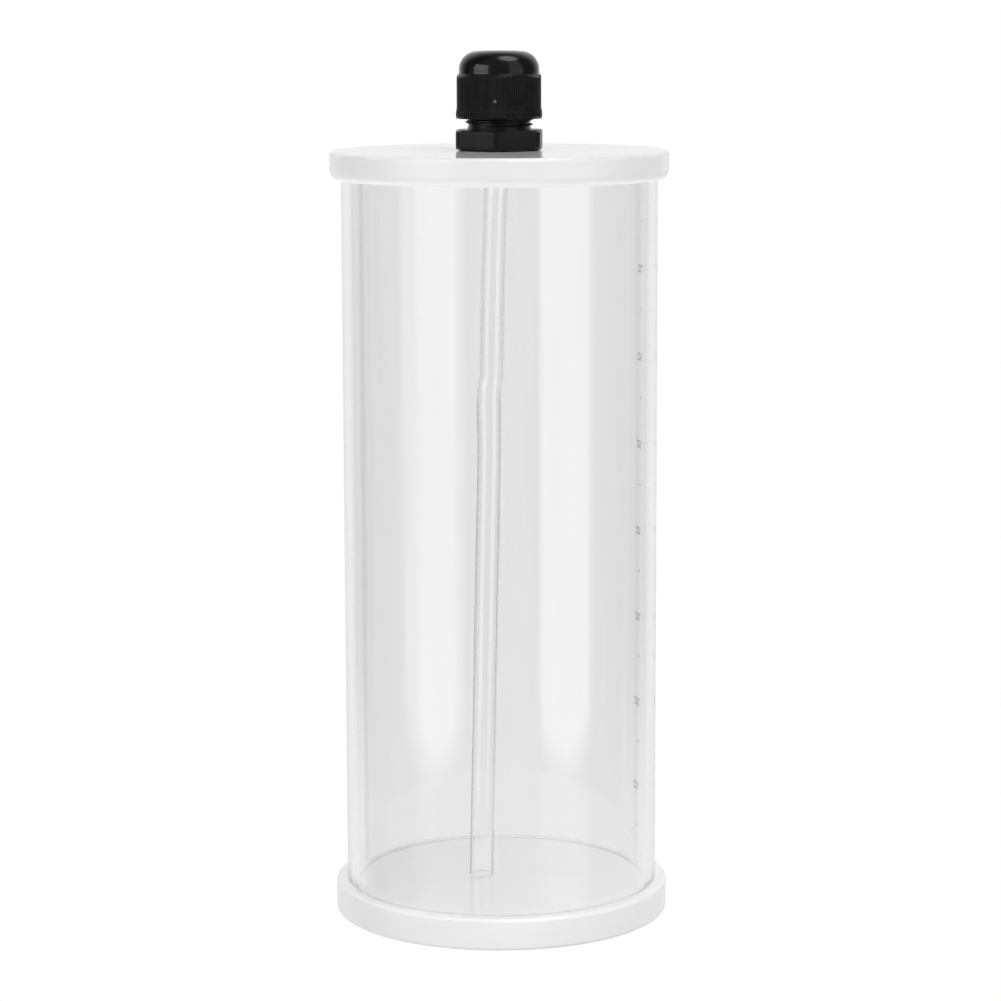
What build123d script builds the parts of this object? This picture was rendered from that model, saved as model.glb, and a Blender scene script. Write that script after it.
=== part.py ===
from build123d import *
import math
import os

# Manual rain gauge: a clear graduated cylinder between two white discs.
# A screwed cable gland in the lid clamps a clear dip tube that reaches almost to the floor.
# Origin: centre of the base's underside. +Z up the cylinder's axis, -Y towards the
# reader, the graduations are printed on the +X side. Millimetres.

# ---- cylinder and end discs -------------------------------------------------
TUBE_OD = 80.5
TUBE_ID = 74.7
TUBE_BREAK = 0.2        # chamfer on the tube's upper rim
DISC_OD = 86.2          # both white discs
BASE_T = 8.2
LID_T = 7.2
CLEAR_H = 182.0         # floor to the lid's underside
BASE_SEAT = 3.2         # depth of the annular seat in the base
LID_SEAT = 3.4          # depth of the annular seat in the lid
GASKET_T = 1.0          # silicone ring at the bottom of the lid's seat
LID_FIT = 0.05          # radial clearance between the lid's seat and the tube
BASE_EDGE_TOP, BASE_EDGE_LOW = 0.8, 1.0     # fillet radii
LID_EDGE_TOP, LID_EDGE_LOW = 0.9, 2.3

Z_FLOOR = BASE_T
Z_LID = BASE_T + CLEAR_H
Z_TOP = Z_LID + LID_T
TUBE_BOTTOM = BASE_T - BASE_SEAT
TUBE_TOP = Z_LID + LID_SEAT - GASKET_T
DISC_R = DISC_OD / 2
R_OUT = TUBE_OD / 2
R_IN = TUBE_ID / 2

# ---- graduations (angles in degrees) ------------------------------------------
STEP_ML = 100.0
STEP_H = STEP_ML * 1000.0 / (math.pi * R_IN ** 2)   # 22.8 mm of height per 100 ml
LAST_STEP = 7
SCALE_ZERO = Z_FLOOR - 0.2   # the scale counts from just below the floor
INK_T = 0.08
INK_INSET = 0.6              # strokes start this far inside the tube's outer surface
INK_REACH = 1.5              # and run this far outwards before they are trimmed
NUM_DROP = 1.0               # the numerals' middle hangs this far below their mark
NUM_AT = 13.4                # polar angle of the lowest numeral's middle, from +X
HALF_AT = 11.6               # polar angle of the lowest half mark's middle
LEAN = 0.70                  # the print leans this much towards the reader per step up
TICK_FROM, TICK_TO = -5.2, -3.8   # numbered marks, counted from their numerals' middle
HALF_WIDTH = 2.6             # angular length of the half marks
TICK_W = 0.30

# Numerals: the points each pen line passes through, (x, y) from the digit's middle
GLYPHS = {
    "0": [
        (-0.46, 0.65), (-0.34, 0.9), (0.34, 0.9), (0.46, 0.65), (0.46, -0.65),
        (0.34, -0.9), (-0.34, -0.9), (-0.46, -0.65), (-0.46, 0.65),
    ],
    "1": [(-0.3, 0.55), (0.05, 0.9), (0.05, -0.9)],
    "2": [
        (-0.45, 0.55), (-0.2, 0.9), (0.2, 0.9), (0.45, 0.6), (0.42, 0.2),
        (-0.45, -0.9), (0.45, -0.9),
    ],
    "3": [
        (-0.42, 0.7), (-0.1, 0.9), (0.2, 0.9), (0.42, 0.65), (0.42, 0.3), (0.1, 0.05),
        (0.45, -0.25), (0.45, -0.6), (0.2, -0.9), (-0.15, -0.9), (-0.45, -0.68),
    ],
    "4": [(0.22, -0.9), (0.22, 0.9), (-0.5, -0.4), (0.5, -0.4)],
    "5": [
        (0.4, 0.9), (-0.32, 0.9), (-0.4, 0.1), (0.1, 0.2), (0.45, -0.1),
        (0.45, -0.55), (0.15, -0.9), (-0.2, -0.9), (-0.45, -0.7),
    ],
    "6": [
        (0.3, 0.88), (-0.1, 0.7), (-0.4, 0.2), (-0.45, -0.5), (-0.2, -0.9),
        (0.2, -0.9), (0.45, -0.55), (0.42, -0.1), (0.1, 0.12), (-0.25, 0.02),
    ],
    "7": [(-0.45, 0.9), (0.45, 0.9), (-0.1, -0.9)],
}
DIGIT_PITCH = 1.75
WIDEN, LOWER = 1.3, 0.9      # the numerals are broad for their height
LEVEL_STROKE, UPRIGHT_STROKE = 0.36, 0.10   # level strokes are heavier
LEVEL_COS = 0.75             # strokes whose slope has a larger cosine count as level

# ---- cable gland (PG11 size), heights counted from the lid's top ---------------
PITCH = 1.411
FLANGE_AF = 21.4             # across flats
FLANGE_LOW, FLANGE_HIGH = 0.3, 5.2
FLANGE_CORNER_R = 11.95
FLANGE_TURN = 26.1           # corner direction, degrees
FLANGE_CHAMFER_LOW = (0.8, 0.46)     # radial, vertical
FLANGE_CHAMFER_HIGH = (0.65, 0.38)
THREAD_OVERLAP = 1.0         # both threaded ends run this far into the flange
BODY_BORE_R = 4.9
BODY_TOP = 15.2
POCKET_R, POCKET_FLOOR = 6.6, 8.6
WASHER_R, WASHER_SUNK = 10.1, 0.7

# One thread ring each: (radius, height above the ring's start)
LOW_THREAD_R = 9.3
LOW_THREAD_L = 6.7
LOW_LEAD = 0.7               # chamfered lead-in, as high as this
LOW_ROOT_R = LOW_THREAD_R - 0.7
LOW_RING_COUNT = 3
LOW_RING = [(LOW_THREAD_R, 0.1), (LOW_THREAD_R, 0.35), (LOW_ROOT_R, 0.85), (LOW_ROOT_R, 0.95)]
UP_CREST_R, UP_ROOT_R = 8.6, 7.8
UP_RING_COUNT = 6
UP_RING = [(UP_CREST_R, 0.45), (UP_CREST_R, 0.70), (UP_ROOT_R, 1.15), (UP_ROOT_R, PITCH)]

# Half section of the clamping cage: (radius, height)
FINGER_ROOT = 17.1
CAGE_PROFILE = [
    (5.0, 9.5), (6.5, 9.5), (6.5, 16.0), (7.6, 16.0),
    (7.6, FINGER_ROOT), (7.2, FINGER_ROOT), (5.9, 21.8), (5.0, 21.8),
]
FINGERS = 8
FINGER_GAP = 1.1
GAP_MID_R, GAP_LENGTH, GAP_H = 6.5, 6.0, 6.0

SEAL_R, SEAL_FIT = 4.95, 0.05
SEAL_BOTTOM, SEAL_H, SEAL_CHAMFER = 9.9, 11.5, 0.6

NUT_BOTTOM, NUT_TOP = 8.05, 24.95
NUT_AF_LOW, NUT_AF_TOP = 21.4, 20.85
NUT_TURN = 26.9
NUT_CORNER_R = 11.5          # the hexagon's corners are turned down to this radius
NUT_CORNER_TOP = 18.31
DOME_R, DOME_START = 10.2, 19.3
DOME_EDGE_R = 4.6
DOME_FLAT_R = DOME_R - DOME_EDGE_R
NUT_BORE_R = UP_CREST_R + 0.05
NUT_HOLE_R = 5.0
NUT_BREAK = 0.5              # chamfer at the skirt's and the hole's edges
NUT_CUT_PAST = 1.0           # the bore's cut runs this far past both ends
# Cone between the nut's bore and its hole: (radius, height)
NUT_CONE = [(NUT_BORE_R, 17.4), (7.35, 17.9), (6.1, 22.2), (NUT_HOLE_R, 22.5)]

# ---- dip tube ----------------------------------------------------------------
HOSE_OD = 6.1
HOSE_ID = 5.6
HOSE_TOP = Z_TOP + 23.4
HOSE_STRAIGHT_TO = 192.0
HOSE_END = Z_FLOOR + 0.25
# Centreline below the straight: (x, z), in the plane y = 0
HOSE_STATIONS = [
    (0, HOSE_STRAIGHT_TO), (-1.55, 166.0), (-1.95, 146.0), (-2.65, 137.5),
    (-2.85, 111.0), (-4.10, 59.5), (-5.15, HOSE_END),
]
HOSE_TANGENTS = ((0, 0, -1), (-0.021, 0, -1))


# ---- helpers: the drawing ones add to the sketch that is open where they are called ----
def ring(outer, inner):
    Circle(outer)
    Circle(inner, mode=Mode.SUBTRACT)


def hexagon(across_flats, turn):
    RegularPolygon(across_flats / 2 / math.cos(math.radians(30)), 6, rotation=turn)


def scale_mark(degrees):
    """Level line as long as the chord of this angle on the tube."""
    Rectangle(2 * R_OUT * math.sin(math.radians(degrees / 2)), TICK_W)


def above_lid(points):
    """Turn heights counted from the lid's top into heights from the origin."""
    return [(radius, Z_TOP + height) for radius, height in points]


def thread(start, count, one_ring):
    """A thread's points, drawn as rings at its pitch from the start height up."""
    return [
        (radius, start + i * PITCH + height)
        for i in range(count)
        for radius, height in one_ring
    ]


def wall_plane(angle, z):
    """Upright plane just inside the tube's outer surface, facing outwards."""
    a = math.radians(angle)
    radius = R_OUT - INK_INSET
    return Plane(
        origin=(radius * math.cos(a), radius * math.sin(a), z),
        x_dir=(-math.sin(a), math.cos(a), 0),
        z_dir=(math.cos(a), math.sin(a), 0),
    )


def draw_number(text):
    """Draw a number centred on the origin, each stroke a slot with round ends."""
    for i, digit in enumerate(text):
        shift = (i - (len(text) - 1) / 2) * DIGIT_PITCH
        points = [(x * WIDEN + shift, y * LOWER) for x, y in GLYPHS[digit]]
        for (xa, ya), (xb, yb) in zip(points, points[1:]):
            turn = math.atan2(yb - ya, xb - xa)
            level = abs(math.cos(turn)) > LEVEL_COS
            middle = ((xa + xb) / 2, (ya + yb) / 2, 0)
            with Locations(Location(middle, math.degrees(turn))):
                SlotCenterToCenter(
                    math.hypot(xb - xa, yb - ya),
                    LEVEL_STROKE if level else UPRIGHT_STROKE,
                )


# ---- base plate: disc with an annular seat for the tube -------------------------
with BuildPart() as base_plate:
    with BuildSketch(Plane.XY):
        Circle(DISC_R)
    extrude(amount=BASE_T)
    fillet(base_plate.edges().group_by(Axis.Z)[-1], BASE_EDGE_TOP)
    fillet(base_plate.edges().group_by(Axis.Z)[0], BASE_EDGE_LOW)
    with BuildSketch(Plane.XY.offset(TUBE_BOTTOM)):
        ring(R_OUT, R_IN)
    extrude(amount=BASE_SEAT, mode=Mode.SUBTRACT)

# ---- cylinder: clear tube, its upper rim slightly broken -------------------------
with BuildPart() as cylinder:
    with BuildSketch(Plane.XY.offset(TUBE_BOTTOM)):
        ring(R_OUT, R_IN)
    extrude(amount=TUBE_TOP - TUBE_BOTTOM)
    chamfer(cylinder.edges().group_by(Axis.Z)[-1], TUBE_BREAK)

# ---- printed scale: thin ink on the outside of the tube --------------------------
with BuildPart() as printed_scale:
    for n in range(1, LAST_STEP + 1):
        z = SCALE_ZERO + n * STEP_H
        angle = NUM_AT - LEAN * (n - 1)
        with BuildSketch(wall_plane(angle, z - NUM_DROP)):
            draw_number(str(int(n * STEP_ML)))
        extrude(amount=INK_REACH)
        with BuildSketch(wall_plane(angle + (TICK_FROM + TICK_TO) / 2, z)):
            scale_mark(TICK_TO - TICK_FROM)
        extrude(amount=INK_REACH)
    for n in range(LAST_STEP + 1):
        z = SCALE_ZERO + (n + 0.5) * STEP_H
        with BuildSketch(wall_plane(HALF_AT - LEAN * n, z)):
            scale_mark(HALF_WIDTH)
        extrude(amount=INK_REACH)
    # keep only the thin shell on the tube's surface
    with BuildSketch(Plane.XY.offset(Z_FLOOR)):
        ring(R_OUT + INK_T, R_OUT)
    extrude(amount=CLEAR_H, mode=Mode.INTERSECT)

# ---- lid: disc with an annular seat below and a hole for the gland ----------------
with BuildPart() as lid:
    with BuildSketch(Plane.XY.offset(Z_LID)):
        Circle(DISC_R)
    extrude(amount=LID_T)
    fillet(lid.edges().group_by(Axis.Z)[-1], LID_EDGE_TOP)
    fillet(lid.edges().group_by(Axis.Z)[0], LID_EDGE_LOW)
    with BuildSketch(Plane.XY.offset(Z_LID)):
        ring(R_OUT + LID_FIT, R_IN - LID_FIT)
    extrude(amount=LID_SEAT, mode=Mode.SUBTRACT)
    with BuildSketch(Plane.XY.offset(Z_LID)):
        Circle(LOW_THREAD_R)
    extrude(amount=LID_T, mode=Mode.SUBTRACT)

# ---- lid gasket: flat silicone ring in the lid's seat -----------------------------
with BuildPart() as lid_gasket:
    with BuildSketch(Plane.XY.offset(TUBE_TOP)):
        ring(R_OUT, R_IN)
    extrude(amount=GASKET_T)

# ---- gland body: hexagon flange, thread below for the lid, thread above for the nut ---
chamfer_low_r, chamfer_low_h = FLANGE_CHAMFER_LOW
chamfer_high_r, chamfer_high_h = FLANGE_CHAMFER_HIGH
flange_profile = [
    (0, FLANGE_LOW),
    (FLANGE_CORNER_R - chamfer_low_r, FLANGE_LOW),
    (FLANGE_CORNER_R, FLANGE_LOW + chamfer_low_h),
    (FLANGE_CORNER_R, FLANGE_HIGH - chamfer_high_h),
    (FLANGE_CORNER_R - chamfer_high_r, FLANGE_HIGH),
    (0, FLANGE_HIGH),
]
low_start = LOW_LEAD - LOW_THREAD_L
low_profile = [
    (0, -LOW_THREAD_L),
    (LOW_THREAD_R - 0.8, -LOW_THREAD_L),
    (LOW_THREAD_R - 0.1, low_start),
    *thread(low_start, LOW_RING_COUNT, LOW_RING),
    (LOW_THREAD_R, low_start + LOW_RING_COUNT * PITCH + 0.2),
    (LOW_THREAD_R, FLANGE_LOW + THREAD_OVERLAP),
    (0, FLANGE_LOW + THREAD_OVERLAP),
]
up_start = FLANGE_HIGH + 0.5
up_profile = [
    (0, FLANGE_HIGH - THREAD_OVERLAP),
    (UP_ROOT_R, FLANGE_HIGH - THREAD_OVERLAP),
    (UP_ROOT_R, up_start),
    *thread(up_start, UP_RING_COUNT, UP_RING),
    (UP_ROOT_R, BODY_TOP),
    (0, BODY_TOP),
]

with BuildPart() as gland_body:
    with BuildSketch(Plane.XY.offset(Z_TOP + FLANGE_LOW)):
        hexagon(FLANGE_AF, FLANGE_TURN)
    extrude(amount=FLANGE_HIGH - FLANGE_LOW)
    # corners of the hexagon turned down to a 30 degree chamfer, top and bottom
    with BuildSketch(Plane.XZ):
        with BuildLine():
            Polyline(*above_lid(flange_profile), close=True)
        make_face()
    revolve(axis=Axis.Z, mode=Mode.INTERSECT)
    for profile in (low_profile, up_profile):
        with BuildSketch(Plane.XZ):
            with BuildLine():
                Polyline(*above_lid(profile), close=True)
            make_face()
        revolve(axis=Axis.Z)
    # bore, pocket for the clamping cage, recess for the flange washer
    with BuildSketch(Plane.XY.offset(Z_TOP - LOW_THREAD_L)):
        Circle(BODY_BORE_R)
    extrude(amount=LOW_THREAD_L + BODY_TOP, mode=Mode.SUBTRACT)
    with BuildSketch(Plane.XY.offset(Z_TOP + POCKET_FLOOR)):
        Circle(POCKET_R)
    extrude(amount=BODY_TOP - POCKET_FLOOR, mode=Mode.SUBTRACT)
    with BuildSketch(Plane.XY.offset(Z_TOP + FLANGE_LOW)):
        ring(WASHER_R, LOW_THREAD_R)
    extrude(amount=WASHER_SUNK, mode=Mode.SUBTRACT)

# ---- gland washer: flat rubber ring, part sunk in the flange ----------------------
with BuildPart() as gland_washer:
    with BuildSketch(Plane.XY.offset(Z_TOP)):
        ring(WASHER_R, LOW_THREAD_R)
    extrude(amount=FLANGE_LOW + WASHER_SUNK)

# ---- clamping cage: collar and eight fingers inside the nut's cone ----------------
with BuildPart() as clamp_cage:
    with BuildSketch(Plane.XZ):
        with BuildLine():
            Polyline(*above_lid(CAGE_PROFILE), close=True)
        make_face()
    revolve(axis=Axis.Z)
    with BuildSketch(Plane.XY.offset(Z_TOP + FINGER_ROOT)):
        with PolarLocations(GAP_MID_R, FINGERS):
            Rectangle(GAP_LENGTH, FINGER_GAP)
    extrude(amount=GAP_H, mode=Mode.SUBTRACT)

# ---- clamp seal: rubber sleeve round the dip tube, outer top edge chamfered --------
with BuildPart() as clamp_seal:
    with BuildSketch(Plane.XY.offset(Z_TOP + SEAL_BOTTOM)):
        ring(SEAL_R, HOSE_OD / 2 + SEAL_FIT)
    extrude(amount=SEAL_H)
    top_edges = clamp_seal.edges().group_by(Axis.Z)[-1]
    chamfer(top_edges.sort_by(SortBy.RADIUS)[-1], SEAL_CHAMFER)

# ---- dome nut: hexagon skirt, rounded dome, cone inside, hole on top ---------------
skirt_profile = above_lid([
    (0, NUT_BOTTOM),
    (NUT_CORNER_R - NUT_BREAK, NUT_BOTTOM),
    (NUT_CORNER_R, NUT_BOTTOM + NUT_BREAK),
    (NUT_CORNER_R, NUT_CORNER_TOP),
    (DOME_R, DOME_START),
    (DOME_R, NUT_TOP - DOME_EDGE_R),
])
crown_profile = above_lid([(DOME_FLAT_R, NUT_TOP), (0, NUT_TOP), (0, NUT_BOTTOM)])
bore_profile = above_lid([
    (0, NUT_BOTTOM - NUT_CUT_PAST),
    (NUT_BORE_R + NUT_BREAK, NUT_BOTTOM - NUT_CUT_PAST),
    (NUT_BORE_R + NUT_BREAK, NUT_BOTTOM),
    (NUT_BORE_R, NUT_BOTTOM + NUT_BREAK),
    *NUT_CONE,
    (NUT_HOLE_R, NUT_TOP - NUT_BREAK),
    (NUT_HOLE_R + NUT_BREAK, NUT_TOP),
    (NUT_HOLE_R + NUT_BREAK, NUT_TOP + NUT_CUT_PAST),
    (0, NUT_TOP + NUT_CUT_PAST),
])

with BuildPart() as dome_nut:
    with BuildSketch(Plane.XY.offset(Z_TOP + NUT_BOTTOM)):
        hexagon(NUT_AF_LOW, NUT_TURN)
    with BuildSketch(Plane.XY.offset(Z_TOP + NUT_TOP)):
        hexagon(NUT_AF_TOP, NUT_TURN)
    loft()
    with BuildSketch(Plane.XZ):
        with BuildLine():
            Polyline(*skirt_profile)
            RadiusArc(skirt_profile[-1], crown_profile[0], -DOME_EDGE_R)
            Polyline(*crown_profile)
        make_face()
    revolve(axis=Axis.Z, mode=Mode.INTERSECT)
    with BuildSketch(Plane.XZ):
        with BuildLine():
            Polyline(*bore_profile, close=True)
        make_face()
    revolve(axis=Axis.Z, mode=Mode.SUBTRACT)

# ---- dip tube: flexible clear hose, straight in the gland, leaning to -X below it ---
with BuildPart() as dip_tube:
    with BuildLine():
        Line((0, 0, HOSE_TOP), (0, 0, HOSE_STRAIGHT_TO))
        Spline(*[(x, 0, z) for x, z in HOSE_STATIONS], tangents=HOSE_TANGENTS)
    with BuildSketch(Plane.XY.offset(HOSE_TOP)):
        ring(HOSE_OD / 2, HOSE_ID / 2)
    sweep()

# ---- export -------------------------------------------------------------------
pieces = {
    "base_plate": base_plate,
    "cylinder": cylinder,
    "printed_scale": printed_scale,
    "lid": lid,
    "lid_gasket": lid_gasket,
    "gland_body": gland_body,
    "gland_washer": gland_washer,
    "clamp_cage": clamp_cage,
    "clamp_seal": clamp_seal,
    "dome_nut": dome_nut,
    "dip_tube": dip_tube,
}
os.makedirs("parts", exist_ok=True)
for name, piece in pieces.items():
    piece.part.label = name
    export_step(piece.part, f"parts/{name}.step")
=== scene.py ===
# A clear upright cylinder on a white base, closed by a white lid. A black nylon gland with a
# domed nut stands in the middle of the lid and holds a clear hose that hangs inside.
# The axis is z, the object stands on z = 0, and the camera looks along +y, so left is -x.
# Lengths are in millimetres unless a comment says otherwise; MM turns them into metres.
import math
import bpy
import numpy as np
from mathutils import Matrix, Vector


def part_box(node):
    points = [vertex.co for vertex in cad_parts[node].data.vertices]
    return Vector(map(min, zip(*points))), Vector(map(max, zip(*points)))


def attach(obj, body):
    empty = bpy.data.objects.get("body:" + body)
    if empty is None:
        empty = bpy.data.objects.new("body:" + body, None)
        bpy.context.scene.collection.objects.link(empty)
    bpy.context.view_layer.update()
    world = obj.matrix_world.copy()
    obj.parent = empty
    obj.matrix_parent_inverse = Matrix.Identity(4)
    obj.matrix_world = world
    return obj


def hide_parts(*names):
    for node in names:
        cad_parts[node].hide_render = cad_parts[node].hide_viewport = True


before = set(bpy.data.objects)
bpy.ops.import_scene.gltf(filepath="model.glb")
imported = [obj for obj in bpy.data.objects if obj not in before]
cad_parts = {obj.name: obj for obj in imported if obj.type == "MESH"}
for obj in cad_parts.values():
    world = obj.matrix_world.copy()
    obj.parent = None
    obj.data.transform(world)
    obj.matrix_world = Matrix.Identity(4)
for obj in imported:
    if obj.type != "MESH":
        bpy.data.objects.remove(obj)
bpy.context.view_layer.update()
MM = 0.001
S = bpy.context.scene


# ---------------------------------------------------------------- places from the frame
def span(node):
    """The low and high corners of a CAD piece."""
    return [[float(v) / MM for v in corner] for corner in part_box(node)]


tube_lo, tube_hi = span("cylinder")
lid_lo, lid_hi = span("lid")
nut_lo, nut_hi = span("dome_nut")
hose_lo, hose_hi = span("dip_tube")
Z_FLOOR = span("base_plate")[1][2]      # top of the base
Z_LID = lid_lo[2]                       # underside of the lid
Z_TOP = lid_hi[2]                       # top of the lid
Z_FOOT = tube_lo[2]                     # lower end of the cylinder, in its seat
R_OUT = tube_hi[0]
WALL = 2.9
R_IN = R_OUT - WALL


# ---------------------------------------------------------------- mesh helpers
def link_object(name, data):
    o = bpy.data.objects.new(name, data)
    S.collection.objects.link(o)
    return o


def mesh_object(name, verts, faces, sharp):
    """A smooth mesh whose edges above the angle sharp (degrees) stay crisp. Verts in metres."""
    mesh = bpy.data.meshes.new(name)
    mesh.from_pydata([tuple(v) for v in verts], [], faces)
    mesh.validate()
    mesh.polygons.foreach_set("use_smooth", [True] * len(mesh.polygons))
    mesh.set_sharp_from_angle(angle=math.radians(sharp))
    mesh.update()
    return link_object(name, mesh)


def ring_angles(count):
    return np.arange(count) * 2 * math.pi / count


def grid_quads(rows, cols):
    """Quads over a grid of points that closes on itself both ways."""
    i = np.arange(rows)[:, None]
    j = np.arange(cols)[None, :]
    i2, j2 = (i + 1) % rows, (j + 1) % cols
    corners = [i * cols + j, i2 * cols + j, i2 * cols + j2, i * cols + j2]
    return np.stack(corners, -1).reshape(-1, 4)


def spin(name, loops, sharp):
    """A closed form round z: each loop is a closed (r, z) outline, at evenly spaced angles."""
    loops = np.asarray(loops, float)
    angles = ring_angles(len(loops))[:, None]
    r, z = loops[..., 0], loops[..., 1]
    verts = np.stack([r * np.cos(angles), r * np.sin(angles), z], -1).reshape(-1, 3) * MM
    quads = grid_quads(*r.shape)
    area = np.sum(r[0] * np.roll(z[0], -1) - np.roll(r[0], -1) * z[0])
    if area <= 0:
        quads = quads[:, [0, 3, 2, 1]]      # keeps the normals outward
    return mesh_object(name, verts, quads.tolist(), sharp)


def arc(cx, cz, r, start, end, count):
    return [(cx + r * math.cos(k), cz + r * math.sin(k))
            for k in np.radians(np.linspace(start, end, count))]


# ---------------------------------------------------------------- node helpers
class Tree:
    """Small wrapper that lets a shader be written as arithmetic."""

    def __init__(self, owner, output_kind):
        owner.use_nodes = True
        self.tree = owner.node_tree
        self.tree.nodes.clear()
        self.output = self.node(output_kind)

    def node(self, kind, inputs=None, **settings):
        """A new node; inputs maps a socket's name or index to a value or another socket."""
        made = self.tree.nodes.new(kind)
        for key, value in settings.items():
            setattr(made, key, value)
        for key, value in (inputs or {}).items():
            self.put(made.inputs[key], value)
        return made

    def put(self, socket, value):
        if isinstance(value, bpy.types.NodeSocket):
            self.tree.links.new(value, socket)
        else:
            socket.default_value = value

    def surface(self, shader):
        self.put(self.output.inputs["Surface"], shader)

    def math(self, op, a, b=0.0, c=0.0):
        return self.node("ShaderNodeMath", {0: a, 1: b, 2: c}, operation=op).outputs[0]

    def chain(self, op, first, others):
        for other in others:
            first = self.math(op, first, other)
        return first

    def add(self, first, *others):
        return self.chain("ADD", first, others)

    def mul(self, first, *others):
        return self.chain("MULTIPLY", first, others)

    def sub(self, a, b):
        return self.math("SUBTRACT", a, b)

    def abs(self, a):
        return self.math("ABSOLUTE", a)

    def ramp(self, x, start, end, low=0.0, high=1.0):
        """Eases from low to high as x goes from start to end."""
        return self.node("ShaderNodeMapRange", {0: x, 1: start, 2: end, 3: low, 4: high},
                         interpolation_type="SMOOTHSTEP", clamp=True).outputs[0]

    def band(self, x, low, high, soft):
        """1 between low and high, with edges that reach soft to either side."""
        return self.mul(self.ramp(x, low - soft, low + soft),
                        self.ramp(x, high + soft, high - soft))

    def noise(self, vector, scale, detail, rough, distortion=0.0):
        return self.node("ShaderNodeTexNoise", {
            "Scale": scale, "Detail": detail, "Roughness": rough,
            "Distortion": distortion, "Vector": vector}).outputs["Fac"]

    def parts(self, vector):
        return self.node("ShaderNodeSeparateXYZ", {0: vector}).outputs

    def axis_distance(self, position):
        x, y = position[0], position[1]
        return self.math("SQRT", self.add(self.mul(x, x), self.mul(y, y)))

    def mix_rgb(self, fac, a, b):
        return self.node("ShaderNodeMix", {0: fac, 6: a, 7: b}, data_type="RGBA").outputs[2]

    def mix(self, fac, a, b):
        return self.node("ShaderNodeMixShader", {0: fac, 1: a, 2: b}).outputs[0]

    def emission(self, strength):
        return self.node("ShaderNodeEmission",
                         {"Color": grey(1.0), "Strength": strength}).outputs[0]

    def object_space(self, scale=(1, 1, 1)):
        """Millimetres in the object's own space, so a finish stays put when a part moves."""
        coords = self.node("ShaderNodeTexCoord")
        return self.node("ShaderNodeMapping", {
            "Scale": tuple(1000.0 * s for s in scale),
            "Vector": coords.outputs["Object"]}).outputs["Vector"]

    def bump(self, height, strength, depth):
        return self.node("ShaderNodeBump", {
            "Strength": strength, "Distance": depth * MM, "Height": height}).outputs["Normal"]

    def principled(self, **values):
        """The surface shader; an underscore in a name stands for a space."""
        shader = self.node("ShaderNodeBsdfPrincipled",
                           {key.replace("_", " "): value for key, value in values.items()})
        self.surface(shader.outputs[0])
        return shader


def grey(v):
    return (v, v, v, 1.0)


def material(name):
    m = bpy.data.materials.new(name)
    return m, Tree(m, "ShaderNodeOutputMaterial")


def dress(obj, *mats):
    obj.data.materials.clear()
    for m in mats:
        obj.data.materials.append(m)


# ---------------------------------------------------------------- clear plastics
PLASTIC_IOR = 1.49


def long_waves(t):
    """Slow variation drawn out along z, as in extruded plastic."""
    return t.noise(t.object_space((1.0, 1.0, 0.06)), scale=0.35, detail=2.0, rough=0.5)


def clear_surface(t, colour, satin, painted_glow=None):
    """Light rays and diffuse bounces pass straight through, so the inside is lit evenly; what the
    eye sees is refracted.
    The cut ends are satin. The painted glow is a faint emission standing in for haze lit by the
    studio."""
    fine = t.noise(t.object_space(), scale=9.0, detail=2.0, rough=0.6)
    base_rough, speck_rough = 0.0, 0.012
    specks = t.ramp(fine, start=0.62, end=0.78)
    clear = t.node("ShaderNodeBsdfGlass", {
        "IOR": PLASTIC_IOR, "Color": colour,
        "Roughness": t.add(base_rough, t.mul(specks, speck_rough))}).outputs[0]
    matt = t.node("ShaderNodeBsdfDiffuse", {"Color": grey(0.82)}).outputs[0]
    normal = t.parts(t.node("ShaderNodeNewGeometry").outputs["True Normal"])
    flat = t.ramp(t.abs(normal[2]), start=0.7, end=0.95)
    if painted_glow is not None:
        clear = t.node("ShaderNodeAddShader", {0: clear, 1: t.emission(painted_glow)}).outputs[0]
    body = t.mix(t.mul(flat, satin), clear, matt)
    rays = t.node("ShaderNodeLightPath").outputs
    through = t.node("ShaderNodeBsdfTransparent", {"Color": grey(0.995)}).outputs[0]
    soft = t.math("MAXIMUM", rays["Is Shadow Ray"], rays["Is Diffuse Ray"])
    t.surface(t.mix(soft, body, through))


def acrylic_material():
    m, t = material("clear_acrylic_cast")
    tint = (0.988, 0.987, 0.988)
    brighter = tuple(min(1.0, c * 1.008) for c in tint)
    colour = t.mix_rgb(t.ramp(long_waves(t), start=0.3, end=0.7), tint + (1.0,), brighter + (1.0,))
    clear_surface(t, colour, satin=0.6)
    return m


def hose_material():
    """Painted shade darkens the flanks where the eye looks along the thin wall, most of all on the
    left below the kink.
    A painted glow stands in for a trace of milkiness that picks up the studio's light."""
    m, t = material("clear_hose_extruded")
    crease_top, crease_fade = 138.0, 6.0
    painted_rim_shade, painted_crease_shade = 0.145, 0.40
    painted_glow = 0.010
    facing = t.node("ShaderNodeLayerWeight", {"Blend": 0.5}).outputs["Facing"]
    rim = t.ramp(facing, start=0.50, end=0.80)
    normal = t.parts(t.node("ShaderNodeTexCoord").outputs["Normal"])
    position = t.parts(t.object_space())
    left = t.mul(t.ramp(normal[0], start=-0.75, end=-0.92),
                 t.ramp(position[2], start=crease_top, end=crease_top - crease_fade))
    # painted shade: the flanks and the crease below the kink are darkened in the glass colour
    dark = t.mul(rim, t.add(painted_rim_shade, t.mul(left, painted_crease_shade)))
    # painted light: a faint emission stands in for milky haze lit by the studio
    glow = t.mul(t.add(0.8, t.mul(long_waves(t), 0.4)), painted_glow)
    clear_surface(t, t.mix_rgb(dark, grey(0.998), grey(0.0)), satin=0.4, painted_glow=glow)
    m.cycles.emission_sampling = "NONE"
    return m


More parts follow.
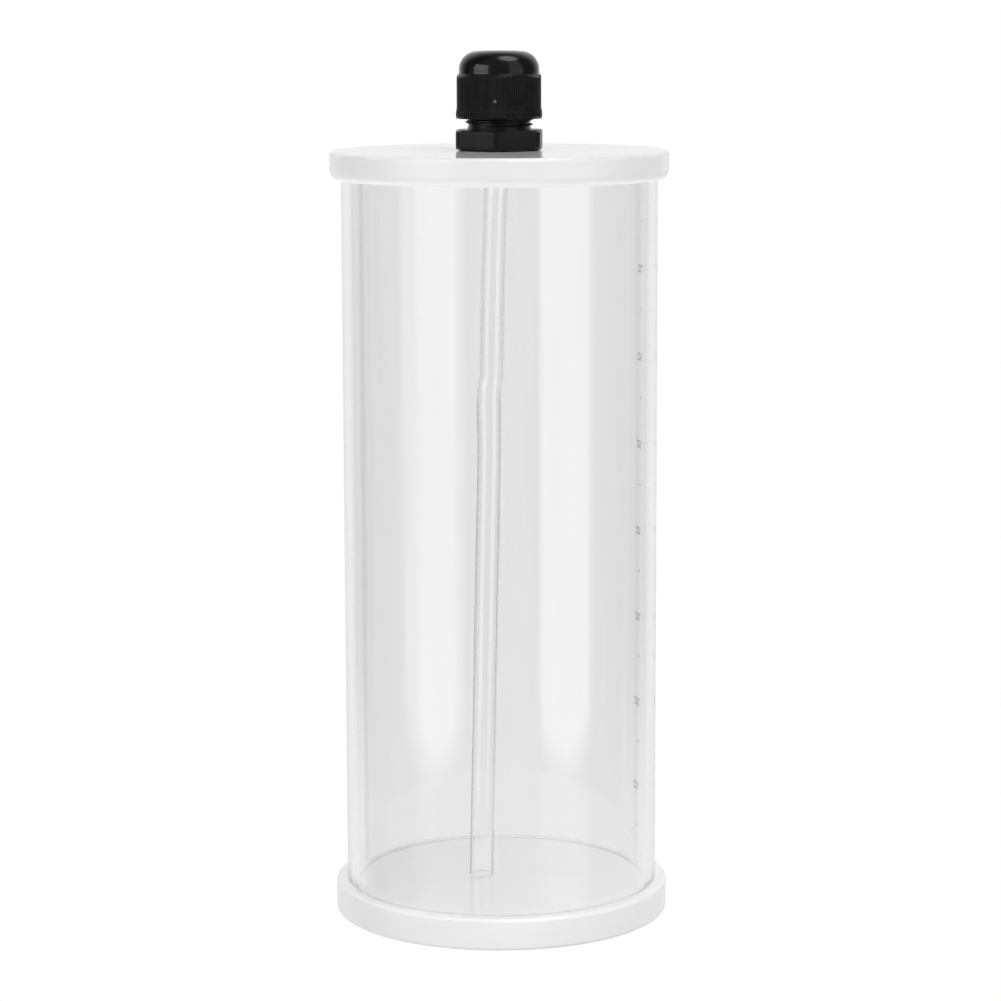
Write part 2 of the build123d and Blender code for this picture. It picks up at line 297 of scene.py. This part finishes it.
# ---------------------------------------------------------------- white acrylic
def white_acrylic(name, dark, light):
    """Cloudy white between two greys; the sides carry faint lathe lines."""
    m, t = material(name)
    position = t.object_space()
    cloud = t.noise(position, scale=0.045, detail=3.0, rough=0.5)
    fine = t.noise(position, scale=2.6, detail=3.0, rough=0.6)
    lines = t.noise(t.object_space((0.02, 0.02, 9.0)), scale=1.0, detail=3.0, rough=0.7)
    geometry = t.node("ShaderNodeNewGeometry").outputs
    side = t.ramp(t.abs(t.parts(geometry["True Normal"])[2]), start=0.6, end=0.2)
    base_rough, fine_rough, side_rough = 0.07, 0.05, 0.06
    shader = t.principled(
        Base_Color=t.mix_rgb(t.ramp(cloud, start=0.25, end=0.75), grey(dark), grey(light)),
        Roughness=t.add(base_rough, t.mul(fine, fine_rough), t.mul(side, side_rough)),
        IOR=PLASTIC_IOR,
        Normal=t.bump(t.mul(lines, side), strength=0.25, depth=0.03),
        Subsurface_Weight=0.12,
        Subsurface_Radius=(1.0, 1.0, 1.0),
        Subsurface_Scale=0.0015)
    m.cycles.emission_sampling = "NONE"
    return m, t, shader.inputs, position, geometry


def base_material():
    """The clear wall is bonded in its seat and carries light down; that light is painted in as a
    faint glow of the seat.
    """
    m, t, inputs, position, _ = white_acrylic("white_acrylic_base", dark=0.878, light=0.903)
    xyz = t.parts(position)
    seat = t.mul(
        t.band(xyz[2], low=Z_FOOT - 0.2, high=Z_FLOOR - 0.04, soft=0.02),
        t.band(t.axis_distance(xyz), low=R_IN - 0.06, high=R_OUT + 0.06, soft=0.02))
    # painted light: emission in the seat stands in for the light the wall carries down
    painted_seat_glow = 0.015
    t.put(inputs["Emission Color"], grey(0.95))
    t.put(inputs["Emission Strength"], t.mul(seat, painted_seat_glow))
    return m


def lid_material():
    """Pale floor and clear wall throw light back up on the lid's lower rounding; that bounced
    light is painted in as a glow.
    """
    # the lid's white is set darker than the base's, though both are the same acrylic: painted
    # shade that offsets the stronger light on the lid
    m, t, inputs, _, geometry = white_acrylic("white_acrylic_lid", dark=0.800, light=0.825)
    nz = t.parts(geometry["Normal"])[2]
    # painted light: the lower rounding glows as emission in place of bounced light
    low_edge = t.mul(t.ramp(nz, start=-0.05, end=-0.85), t.ramp(nz, start=-0.999, end=-0.985))
    seen = t.node("ShaderNodeVectorTransform", {0: geometry["Normal"]}, vector_type="NORMAL",
                  convert_from="WORLD", convert_to="CAMERA").outputs[0]
    # the painted glow is weaker towards the left and right as the camera sees them
    middle = t.ramp(t.abs(t.parts(seen)[0]), start=0.40, end=1.0, low=1.05, high=0.10)
    painted_bounce_glow = 0.19
    t.put(inputs["Emission Color"], grey(1.0))
    t.put(inputs["Emission Strength"], t.mul(low_edge, middle, painted_bounce_glow))
    return m


# ---------------------------------------------------------------- ink, silicone, rubber, nylon
def speckled(name, noise, dark, light, rough, rough_gain, bump, contrast=None, **extra):
    """One noise drives colour, roughness and relief. Contrast narrows the colour's ramp."""
    m, t = material(name)
    speck = t.noise(t.object_space(), **noise)
    fac = t.ramp(speck, **contrast) if contrast else speck
    t.principled(Base_Color=t.mix_rgb(fac, dark, light),
                 Roughness=t.add(rough, t.mul(speck, rough_gain)),
                 Normal=t.bump(speck, **bump), **extra)
    return m


def nylon_material(name, dark, light, rough, grain, shine):
    """Black moulded nylon: mould-fine grain, faint flow marks, and a painted highlight that makes
    sharp edges a little lighter.
    Dark and light each hold the level of red and green, then that of blue."""
    m, t = material(name)
    position = t.object_space()
    fine = t.noise(position, scale=9.0, detail=3.0, rough=0.65)
    flow = t.noise(position, scale=0.22, detail=3.0, rough=0.55, distortion=0.6)
    pointiness = t.node("ShaderNodeNewGeometry").outputs["Pointiness"]
    # painted highlight: convex edges, found by pointiness, are mixed toward grey
    painted_edge_highlight = t.ramp(pointiness, start=0.51, end=0.60)
    dark, light = ((level, level, blue, 1) for level, blue in (dark, light))
    colour = t.mix_rgb(t.ramp(flow, start=0.3, end=0.75), dark, light)
    painted_highlight_share, fine_rough, flow_rough = 0.30, 0.10, 0.06
    t.principled(
        Base_Color=t.mix_rgb(t.mul(painted_edge_highlight, painted_highlight_share), colour, grey(0.04)),
        Roughness=t.add(rough, t.mul(t.sub(fine, 0.5), fine_rough),
                        t.mul(t.sub(flow, 0.5), flow_rough)),
        IOR=1.53, Specular_IOR_Level=shine,
        Normal=t.bump(fine, strength=grain, depth=0.02))
    return m


acrylic = acrylic_material()
hose_mat = hose_material()
white_base = base_material()
# only the two lit white materials exist so far; both keep their painted glow out of light sampling
white_lid = lid_material()
ink = speckled(
    "scale_ink_print", dict(scale=7.0, detail=3.0, rough=0.6), dark=grey(0.030),
    light=grey(0.075), rough=0.35, rough_gain=0.3, bump=dict(strength=0.3, depth=0.02),
    contrast=dict(start=0.3, end=0.75))
silicone = speckled(
    "silicone_sheet", dict(scale=3.0, detail=3.0, rough=0.6), dark=(0.70, 0.71, 0.70, 1),
    light=(0.78, 0.785, 0.78, 1), rough=0.35, rough_gain=0.2,
    bump=dict(strength=0.4, depth=0.02), Subsurface_Weight=0.3, Subsurface_Scale=0.001)
SATIN_BLACK = dict(dark=(0.0060, 0.0063), light=(0.0095, 0.0100))
nylon = nylon_material("black_nylon_satin", **SATIN_BLACK, rough=0.33, grain=0.22, shine=0.14)
nylon_thread = nylon_material("black_nylon_thread", **SATIN_BLACK,
                              rough=0.26, grain=0.12, shine=0.34)
nylon_dome = nylon_material("black_nylon_polished", dark=(0.0035, 0.0038),
                            light=(0.0055, 0.0058), rough=0.13, grain=0.05, shine=0.40)
gate_scar = nylon_material("black_nylon_gate_scar", dark=(0.075, 0.077),
                           light=(0.130, 0.132), rough=0.35, grain=0.20, shine=0.4)
rubber = speckled(
    "black_rubber_moulded", dict(scale=6.0, detail=4.0, rough=0.7), dark=grey(0.012),
    light=grey(0.03), rough=0.5, rough_gain=0.25, bump=dict(strength=0.5, depth=0.03))

# CAD pieces that keep their shape
for node, mat in (("base_plate", white_base), ("lid", white_lid), ("printed_scale", ink),
                  ("lid_gasket", silicone), ("gland_washer", rubber),
                  ("clamp_cage", nylon), ("clamp_seal", rubber)):
    dress(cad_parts[node], mat)


# ---------------------------------------------------------------- cylinder
def make_tube():
    skin = 0.012        # the print is fused into the outer skin
    gap = 0.02          # the wall stays this far off the seats
    chamfer = 0.2
    segments = 576
    foot, head = Z_FOOT + gap, tube_hi[2]
    skin_r = R_OUT + skin
    seat_out, seat_in = R_OUT - gap, R_IN + gap
    # (r, z): foot, up the outside, over the top and down the bore
    outline = [
        (seat_in, foot + chamfer), (seat_in + chamfer, foot),
        (seat_out - chamfer, foot), (seat_out, foot + chamfer), (seat_out, Z_FLOOR - 0.05),
        (skin_r, Z_FLOOR + 0.02), (skin_r, Z_FLOOR + 0.5),
        (skin_r, Z_LID - 0.5), (skin_r, Z_LID),
        (seat_out, Z_LID + 0.1), (seat_out, head - chamfer), (seat_out - chamfer, head),
        (seat_in + chamfer, head), (seat_in, head - chamfer), (seat_in, Z_LID + 0.05),
        (R_IN, Z_LID), (R_IN, Z_LID - 0.5),
        (R_IN, Z_FLOOR + 0.5), (R_IN, Z_FLOOR + 0.02), (seat_in, Z_FLOOR - 0.05),
    ]
    o = spin("tube_wall", [outline] * segments, sharp=5.0)
    dress(o, acrylic)
    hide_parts("cylinder")
    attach(o, "vessel")


# ---------------------------------------------------------------- dip tube
HOSE_TOP, HOSE_END = hose_hi[2], hose_lo[2] + 0.03
# (z, x) of the hose's centre line, from the top down
HOSE_LINE = [
    (HOSE_TOP, 0.0), (205.0, 0.0), (196.0, 0.0), (194.0, -0.04), (192.5, -0.18),
    (191.0, -0.44), (189.0, -0.72), (186.8, -0.95), (180.7, -1.22), (174.6, -1.42),
    (168.5, -1.60), (162.4, -1.76), (156.2, -1.90), (150.1, -2.03), (143.9, -2.15),
    (139.6, -2.20), (136.6, -2.70), (134.6, -2.74), (131.5, -2.76), (128.4, -2.74),
    (125.3, -2.74), (119.0, -2.79), (112.8, -2.92), (106.5, -3.06), (100.2, -3.20),
    (93.9, -3.34), (87.6, -3.48), (81.3, -3.63), (75.0, -3.77), (68.6, -3.90),
    (62.2, -4.02), (55.9, -4.16), (49.5, -4.29), (43.1, -4.44), (36.6, -4.59),
    (30.2, -4.74), (23.7, -4.88), (15.0, -5.03), (HOSE_END, -5.13),
]


def hose_centre(stations):
    """x of the centre line at the stations' heights, smoothed by a narrow bell curve."""
    reach = 12          # stations to either side
    line_z, line_x = np.array(HOSE_LINE[::-1]).T
    x = np.interp(stations[::-1], line_z, line_x)[::-1]
    bell = np.exp(-0.5 * np.arange(-reach, reach + 1.0) ** 2)
    bell /= bell.sum()
    tail = x[-1] + (x[-1] - x[-2]) * np.arange(1, reach + 1)
    x = np.convolve(np.concatenate([np.full(reach, x[0]), x, tail]), bell, "valid")
    x[stations > 204.0] = 0.0
    return x


def make_hose():
    """Soft clear hose: upright in the gland, leaning left below it, slightly kinked and
    swollen on the left two thirds up."""
    r_out, r_in = 3.05, 2.8
    outer_bevel, inner_bevel = 0.12, 0.1
    outer_swell, inner_swell = 0.16, 0.14
    segments = 120
    z = np.linspace(HOSE_TOP, HOSE_END, 420)
    last = len(z) - 1
    x = hose_centre(z)
    slope_x, slope_z = np.gradient(x), np.gradient(z)
    length = np.hypot(slope_x, slope_z)
    slope_x, slope_z = slope_x / length, slope_z / length
    angles = ring_angles(segments)
    leftward = np.clip(-np.cos(angles), 0, 1) ** 2
    kink = np.clip((138.2 - z) / 1.6, 0, 1) * np.clip((z - 125.0) / 5.0, 0, 1)
    # slight unevenness of the outer radius, as a share of it
    wave = 0.006 * np.sin(z * 0.21) + 0.005 * np.sin(z * 0.087 + 1.0)
    wave[z > 196] = 0

    def ring(radius, i, swell=inner_swell):
        r = radius + swell * kink[i] * leftward
        across, y = r * np.cos(angles), r * np.sin(angles)
        return np.stack([x[i] - slope_z[i] * across, y, z[i] + slope_x[i] * across], -1)

    outer = [ring(r_out * (1.0 + wave[i]), i, outer_swell) for i in range(last + 1)]
    outer[0][:, 2] -= outer_bevel
    outer[-1][:, 2] += outer_bevel
    inner = [ring(r_in, i) for i in range(last, -1, -1)]
    inner[0][:, 2] += inner_bevel
    inner[-1][:, 2] -= inner_bevel
    top_rim = ring(r_out - outer_bevel, 0)
    top_rim[:, 2] = z[0]
    rows = np.array([top_rim, *outer, ring(r_out - outer_bevel, last),
                     ring(r_in + inner_bevel, last), *inner, ring(r_in + inner_bevel, 0)])
    rows[..., 2] = np.maximum(rows[..., 2], HOSE_END - 0.02)
    quads = grid_quads(len(rows), segments)
    o = mesh_object("hose", rows.reshape(-1, 3) * MM, quads.tolist(), sharp=50.0)
    dress(o, hose_mat)
    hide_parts("dip_tube")
    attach(o, "dip_tube")


# ---------------------------------------------------------------- gland: z from the lid's top
ON_LID = np.array([0.0, Z_TOP])
PITCH = 1.411


def from_flat(angle, turn):
    """Degrees from the middle of the nearest flat of a hexagon; +-30 at a corner."""
    return (np.degrees(angle) - turn + 360.0) % 60.0 - 30.0


def hex_radius(off, across, corner, blend):
    """Radius of a hexagon, off degrees from a flat, its corners turned down to corner."""
    flat = across / 2 / np.cos(np.radians(off))
    share = np.clip(0.5 + 0.5 * (corner - flat) / blend, 0, 1)
    return corner * (1 - share) + flat * share - blend * share * (1 - share)


def thread_radius(z, angle, start, crest, root):
    """Helical V thread with small flats: radius at height z and angle."""
    turns = ((z - start) / PITCH - angle / (2 * math.pi)) % 1.0
    depth = np.abs(turns - 0.5) * 2         # 1 in the root, 0 on the crest
    return crest - (crest - root) * np.clip((depth - 0.14) / 0.66, 0, 1)


FLANGE_FOOT, FLANGE_TOP = 0.3, 5.2
FLANGE_CHAMFER = 0.55                       # fall per length outward
LOW_CREST, LOW_ROOT, LOW_END = 9.25, 8.55, -6.7
UP_CREST, UP_ROOT, UP_END = 8.62, 7.8, 15.2


def lower_thread(angle):
    """The thread in the lid: tapered at its end, plain just under the flange."""
    z = np.arange(LOW_END, 0.30001, 0.07)
    r = thread_radius(z, angle, 0.0, LOW_CREST, LOW_ROOT)
    r = np.minimum(r, 8.5 + (z - LOW_END) * 0.9)
    plain = np.clip((z + 1.0) / 0.4, 0, 1)
    return list(zip(r * (1 - plain) + LOW_CREST * plain, z))


def upper_thread(angle):
    """The thread under the nut, with a run-out cone above the flange."""
    z = np.arange(FLANGE_TOP, UP_END + 0.0001, 0.06)
    r = thread_radius(z, angle, 0.12, UP_CREST, UP_ROOT)
    fade = np.clip((z - FLANGE_TOP - 0.9) / 0.4, 0, 1)
    neck = 7.9 + np.clip((FLANGE_TOP + 0.9 - z) / 0.9, 0, 1) * 0.35
    r = np.maximum(UP_ROOT + (r - UP_ROOT) * fade, np.where(z < FLANGE_TOP + 0.95, neck, 0.0))
    return list(zip(np.minimum(r, UP_CREST - np.clip(z - 14.6, 0, 1) * 1.1), z))


def flange(r):
    """The hexagonal flange where its side lies at radius r, with turned chamfers."""
    low_r, high_r = 11.10, 11.30            # the chamfers start here
    foot = FLANGE_FOOT + max(0.0, (r - low_r) * FLANGE_CHAMFER)
    head = FLANGE_TOP - max(0.0, (r - high_r) * FLANGE_CHAMFER)
    side = foot + 0.26
    foot_r = min(r, low_r)
    return [
        (foot_r - 0.10, FLANGE_FOOT), (foot_r + 0.02, FLANGE_FOOT + 0.04),
        (r - 0.05, foot + 0.12), (r, side),
        *[(r, side + (FLANGE_TOP - 0.38 - side) * f) for f in np.linspace(0.2, 0.8, 4)],
        (r, head - 0.22), (r - 0.07, head - 0.06),
        (min(r, high_r) - 0.16, FLANGE_TOP), (8.9, FLANGE_TOP),
    ]


def make_gland_body():
    angles = ring_angles(600)
    sides = hex_radius(from_flat(angles, turn=26.1), across=21.4, corner=11.93, blend=0.22)
    recess = [(9.3, 1.0), (10.12, 1.0), (10.15, FLANGE_FOOT)]       # above the washer
    bore = [(7.0, UP_END), (6.6, 14.9), (6.6, 8.6), (4.9, 8.6), (4.9, -6.3), (5.3, LOW_END)]
    loops = [lower_thread(angle) + recess + flange(r) + upper_thread(angle) + bore
             for angle, r in zip(angles, sides)]
    o = spin("gland_threaded", np.array(loops) + ON_LID, sharp=34.0)
    dress(o, nylon, nylon_thread)
    # faces within the upper thread's radius, above the flange, take the thread's finish
    polygons = o.data.polygons
    middle = np.zeros(len(polygons) * 3)
    polygons.foreach_get("center", middle)
    x, y, z = middle.reshape(-1, 3).T / MM
    turned = (np.hypot(x, y) < 8.95) & (z > Z_TOP + FLANGE_TOP - 0.01)
    polygons.foreach_set("material_index", turned.astype(np.int32))
    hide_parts("gland_body")
    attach(o, "lid_assembly")


# ---------------------------------------------------------------- nut: z from the lid's top
NUT_FOOT, NUT_TOP = nut_lo[2] - Z_TOP, nut_hi[2] - Z_TOP
NUT_TURN = 26.9
NUT_FLATS, NUT_CORNER = 21.02, 11.46    # in the upper part; the foot is a little wider
RIB_PITCH, RIB_DEPTH = 0.62, 0.20
CONE_Z, CONE_R, CONE_SLOPE = NUT_TOP - 5.70, 10.2, 1.42
DOME_ROUND = 4.6
# shares of the side's height: close rows below, wider ones above
SIDE_ROWS = np.concatenate([np.linspace(0.0, 0.34, 22), np.linspace(0.36, 1.0, 14)])


def nut_side(off, z):
    """Radius of the ribbed side, off degrees from the middle of a flat."""
    wide = 1.0 - np.clip((z - 9.6) / 1.3, 0, 1)
    wide = wide * wide * (3 - 2 * wide)
    across = NUT_FLATS + 0.44 * wide
    r = hex_radius(off, across, NUT_CORNER + 0.14 * wide, blend=0.20)
    # length along the surface: past the flat the ribs run on round the turned corner
    flat_end, flat_end_angle = 4.35, 22.3
    along = across / 2 * np.tan(np.radians(off))
    past = flat_end + NUT_CORNER * np.radians(abs(off) - flat_end_angle)
    along = np.where(np.abs(along) < flat_end, along, np.copysign(past, along))
    edge = np.clip((5.25 - np.abs(along)) / 0.22, 0, 1)
    groove = 0.5 - 0.5 * np.cos(2 * math.pi * along / RIB_PITCH)
    return r - RIB_DEPTH * edge * groove ** 1.5 * np.clip((z - 8.25) / 0.2, 0, 1)


def nut_outline(angle):
    """The nut's (r, z) outline in three parts: ribbed skirt and cone, dome, bore."""
    off = from_flat(angle, NUT_TURN)
    low_r, high_r = float(nut_side(off, 8.6)), float(nut_side(off, 15.0))
    chamfer_r = 11.05
    foot_r = min(low_r, chamfer_r)
    start = NUT_FOOT + max(0.0, (low_r - chamfer_r) * 0.8) + 0.18
    end = CONE_Z - (high_r - CONE_R) / CONE_SLOPE
    side_z = start + (end - 0.10 - start) * SIDE_ROWS
    skirt = [
        (9.05, NUT_FOOT), ((9.05 + foot_r - 0.2) / 2, NUT_FOOT),
        (foot_r - 0.16, NUT_FOOT), (foot_r - 0.03, NUT_FOOT + 0.05),
        *zip(nut_side(off, side_z), side_z),
        (high_r - 0.035, end - 0.02), (high_r - 0.13, end + 0.065),
        *[(high_r + (CONE_R - high_r) * f, end + (CONE_Z - end) * f) for f in (0.35, 0.7)],
    ]
    dome = [
        (CONE_R + 0.10, CONE_Z - 0.06), (CONE_R + 0.015, CONE_Z + 0.08),
        (CONE_R, CONE_Z + 0.28), (CONE_R - 0.01, CONE_Z + 0.55),
        *arc(CONE_R - 0.02 - DOME_ROUND, NUT_TOP - DOME_ROUND, DOME_ROUND, 0, 88, 30),
    ]
    bore = [
        (5.54, NUT_TOP - 0.005), (5.45, NUT_TOP - 0.03), (5.1, NUT_TOP - 0.4),
        (5.0, NUT_TOP - 0.55), (5.0, 22.5), (6.1, 22.2), (7.35, 17.9), (8.66, 17.4),
        (8.66, 8.6), (8.72, 8.45),
    ]
    return skirt, dome, bore


def make_nut():
    outlines = [nut_outline(angle) for angle in ring_angles(6 * 200)]
    loops = np.array([skirt + dome + bore for skirt, dome, bore in outlines])
    o = spin("nut_ribbed", loops + ON_LID, sharp=36.0)
    dress(o, nylon, nylon_dome)
    skirt, dome, _ = outlines[0]
    column = np.arange(len(o.data.polygons)) % loops.shape[1]
    polished = (column >= len(skirt)) & (column < len(skirt) + len(dome))
    o.data.polygons.foreach_set("material_index", polished.astype(np.int32))
    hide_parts("dome_nut")
    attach(o, "seal_nut")


def make_gate():
    """The nub left by the mould's gate, by the nut's front corner."""
    angle = math.radians(-95.2)
    foot_r, height = 11.34, 12.6
    # (radius, distance outward) of the nub, up to its tip
    profile = [(0.62, -0.15), (0.54, 0.02), (0.40, 0.12), (0.32, 0.32), (0.18, 0.46)]
    tip = 0.49
    count = 24
    outward = Vector((math.cos(angle), math.sin(angle), 0))
    sideways = Vector((-math.sin(angle), math.cos(angle), 0))
    up = Vector((0, 0, 1))
    base = outward * foot_r + up * (Z_TOP + height)
    verts = [(base + outward * out + sideways * (r * math.cos(k)) + up * (r * math.sin(k))) * MM
             for r, out in profile for k in ring_angles(count)]
    verts.append((base + outward * tip) * MM)
    last = (len(profile) - 1) * count
    faces = [(k + i, k + (i + 1) % count, k + count + (i + 1) % count, k + count + i)
             for k in range(0, last, count) for i in range(count)]
    faces += [(last + i, last + (i + 1) % count, len(verts) - 1) for i in range(count)]
    faces.append(tuple(range(count - 1, -1, -1)))
    o = mesh_object("nut_gate_nub", verts, faces, sharp=40.0)
    dress(o, gate_scar)
    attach(o, "seal_nut")


make_tube()
make_hose()
make_gland_body()
make_nut()
make_gate()


# ---------------------------------------------------------------- studio: surrounding light
BACK_E = 0.888       # white backdrop behind the object
FLOOR_E = 0.87       # the floor behind the object
NEAR_E = 0.50        # the floor in front of it
DARK_E = 0.21        # the dim room on the camera's side
TOP_E = 2.9          # the panel overhead
LOW_E = 0.93         # the lower half of both softboxes
# azimuth limits, strength of the upper half, elevation of the upper edge (degrees)
LEFT_BOX = ((-77.0, -32.0), 2.2, 30.0)
RIGHT_BOX = ((30.0, 72.0), 0.42, 50.0)
PANEL_AZ, PANEL_EL = math.radians(62), math.radians(70)


def softbox(t, az, el, limits, strength, upper):
    """A softbox whose lower edge curves up towards its sides."""
    off = t.sub(az, (limits[0] + limits[1]) / 2)
    lowest, curve = -13.7, 0.0018
    edge = t.add(lowest, t.mul(t.mul(off, off), curve))
    lit = t.mul(t.ramp(t.sub(el, edge), start=-0.7, end=0.7),
                t.ramp(el, start=upper, end=upper - 4.0))
    high = t.ramp(el, start=-3.0, end=3.0)
    return t.mul(t.band(az, *limits, soft=3.0), lit,
                 t.add(LOW_E, t.mul(high, strength - LOW_E)))


def studio(t, direction):
    """Brightness of the studio in a direction. It keeps its place relative to the camera, as
    when the object stands on a turntable: backdrop behind, dim room and softboxes in front."""
    right = t.node("ShaderNodeVectorTransform", {0: (1.0, 0.0, 0.0)}, vector_type="VECTOR",
                   convert_from="CAMERA", convert_to="WORLD").outputs[0]
    away = t.node("ShaderNodeVectorMath", {0: (0.0, 0.0, 1.0), 1: right},
                  operation="CROSS_PRODUCT").outputs[0]
    x, y = (t.node("ShaderNodeVectorMath", {0: direction, 1: axis},
                   operation="DOT_PRODUCT").outputs["Value"] for axis in (right, away))
    z = t.parts(direction)[2]
    degrees = 180.0 / math.pi
    # az: 0 towards the camera, + to its right; back: 0 away from the camera; el: elevation
    az = t.mul(t.math("ARCTAN2", x, t.mul(y, -1.0)), degrees)
    back = t.abs(t.mul(t.math("ARCTAN2", x, y), degrees))
    el = t.mul(t.math("ARCSINE", z), degrees)

    panel = (math.sin(PANEL_AZ) * math.cos(PANEL_EL),
             -math.cos(PANEL_AZ) * math.cos(PANEL_EL), math.sin(PANEL_EL))
    toward = t.add(*[t.mul(part, share) for part, share in zip((x, y, z), panel)])
    top = t.ramp(toward, start=math.cos(math.radians(24)), end=math.cos(math.radians(10)))
    floor = t.ramp(el, start=-10.5, end=-15.5)
    wall = t.mul(t.ramp(back, start=70.0, end=26.0), t.ramp(el, start=70.0, end=30.0),
                 t.sub(1.0, floor))
    ground = t.ramp(back, start=120.0, end=70.0, low=NEAR_E, high=FLOOR_E)
    light = t.add(DARK_E, t.add(t.mul(wall, BACK_E - DARK_E),
                                t.mul(floor, t.sub(ground, DARK_E))))
    # a darker upright strip to either side of the backdrop's middle, a paler one inside it
    strip = t.mul(t.band(back, low=13.6, high=17.0, soft=1.2), t.ramp(el, start=30.0, end=10.0))
    shade = t.mul(strip, t.ramp(az, start=0.0, end=-1.0, low=0.12, high=0.16))
    lift_share = 0.03
    lift = t.mul(t.band(back, low=4.5, high=11.0, soft=1.5), lift_share)
    light = t.mul(light, t.add(t.sub(1.0, shade), lift))
    # darker at both sides, more so on the left
    sides = t.mul(t.band(back, low=62.0, high=112.0, soft=12.0),
                  t.ramp(az, start=0.0, end=-1.0, low=0.45, high=0.70))
    light = t.mul(light, t.sub(1.0, sides))
    return t.add(light, softbox(t, az, el, *LEFT_BOX), softbox(t, az, el, *RIGHT_BOX),
                 t.mul(top, TOP_E))


def make_world():
    """The studio lights the object; the camera itself sees plain white."""
    world = bpy.data.worlds.new("studio")
    S.world = world
    t = Tree(world, "ShaderNodeOutputWorld")
    direction = t.node("ShaderNodeTexCoord").outputs["Generated"]
    lit, clean = (t.node("ShaderNodeBackground",
                         {"Color": grey(1.0), "Strength": strength}).outputs[0]
                  for strength in (studio(t, direction), 1.0))
    t.surface(t.mix(t.node("ShaderNodeLightPath").outputs["Is Camera Ray"], lit, clean))


def floor_material():
    """White to the camera, a pale glow to bounced light that is dimmer near the object as painted
    shade, absent in reflection and refraction.
    """
    m, t = material("studio_floor")
    rays = t.node("ShaderNodeLightPath").outputs
    position = t.parts(t.node("ShaderNodeNewGeometry").outputs["Position"])
    # painted shade: the glow is weakest beside the object and rises out to 16 cm from the axis
    far = t.ramp(t.axis_distance(position), start=0.043, end=0.16)      # metres
    painted_shade_glow, far_gain = 0.62, 0.16
    bounced = t.emission(t.add(painted_shade_glow, t.mul(far, far_gain)))
    through = t.node("ShaderNodeBsdfTransparent").outputs[0]
    passing = t.math("MAXIMUM", rays["Is Transmission Ray"], rays["Is Glossy Ray"])
    unseen = t.mix(passing, bounced, through)
    t.surface(t.mix(rays["Is Camera Ray"], unseen, t.emission(1.0)))
    m.cycles.emission_sampling = "NONE"
    return m


def make_floor():
    radius, z, count = 1.6, -0.0002, 96     # metres
    verts = [(0, 0, z)]
    verts += [(radius * math.cos(k), radius * math.sin(k), z) for k in ring_angles(count)]
    faces = [(0, 1 + i, 1 + (i + 1) % count) for i in range(count)]
    mesh = bpy.data.meshes.new("studio_floor")
    mesh.from_pydata(verts, [], faces)
    o = link_object("studio_floor", mesh)
    dress(o, floor_material())


make_world()
make_floor()


# ---------------------------------------------------------------- camera and fill lights
def make_camera():
    place = Vector((0.043, -816.67, 234.94))
    look_down, roll = 8.8746, -0.1651       # degrees
    lens = bpy.data.cameras.new("view")
    lens.sensor_width = 36.0
    lens.sensor_fit = "HORIZONTAL"
    lens.lens = 115.1655
    lens.clip_start, lens.clip_end = 0.01, 20.0
    o = link_object("view", lens)
    o.matrix_world = (Matrix.Translation(place * MM)
                      @ Matrix.Rotation(math.radians(90.0 - look_down), 4, "X")
                      @ Matrix.Rotation(math.radians(roll), 4, "Z"))
    S.camera = o
    return o


def soft_sun(name, strength, spread):
    """Soft light that falls on matt surfaces and leaves no highlight."""
    sun = bpy.data.lights.new(name, "SUN")
    sun.energy = strength
    sun.angle = math.radians(spread)
    sun.specular_factor = 0.0
    o = link_object(name, sun)
    o.visible_glossy = False
    o.visible_transmission = False
    return o


camera = make_camera()
# name, strength, spread, turn and tilt (degrees); these go with the camera
for name, strength, spread, turn, tilt in (
        ("fill_front", 0.88, 120.0, 0.0, -14.0),
        ("fill_left", 0.36, 80.0, -60.0, -18.0),
        ("fill_right", 0.75, 80.0, 56.0, -18.0)):
    fill = soft_sun(name, strength, spread)
    fill.parent = camera
    fill.rotation_euler = (math.radians(tilt), math.radians(turn), 0.0)
soft_sun("fill_top", strength=0.10, spread=120.0)

# ---------------------------------------------------------------- picture
S.view_settings.view_transform = "Standard"
S.view_settings.look = "None"
S.view_settings.exposure = 0.0
S.view_settings.gamma = 1.0
S.cycles.max_bounces = 28
S.cycles.transmission_bounces = 28
S.cycles.glossy_bounces = 6
S.cycles.diffuse_bounces = 5
S.cycles.transparent_max_bounces = 32

bpy.context.view_layer.update()
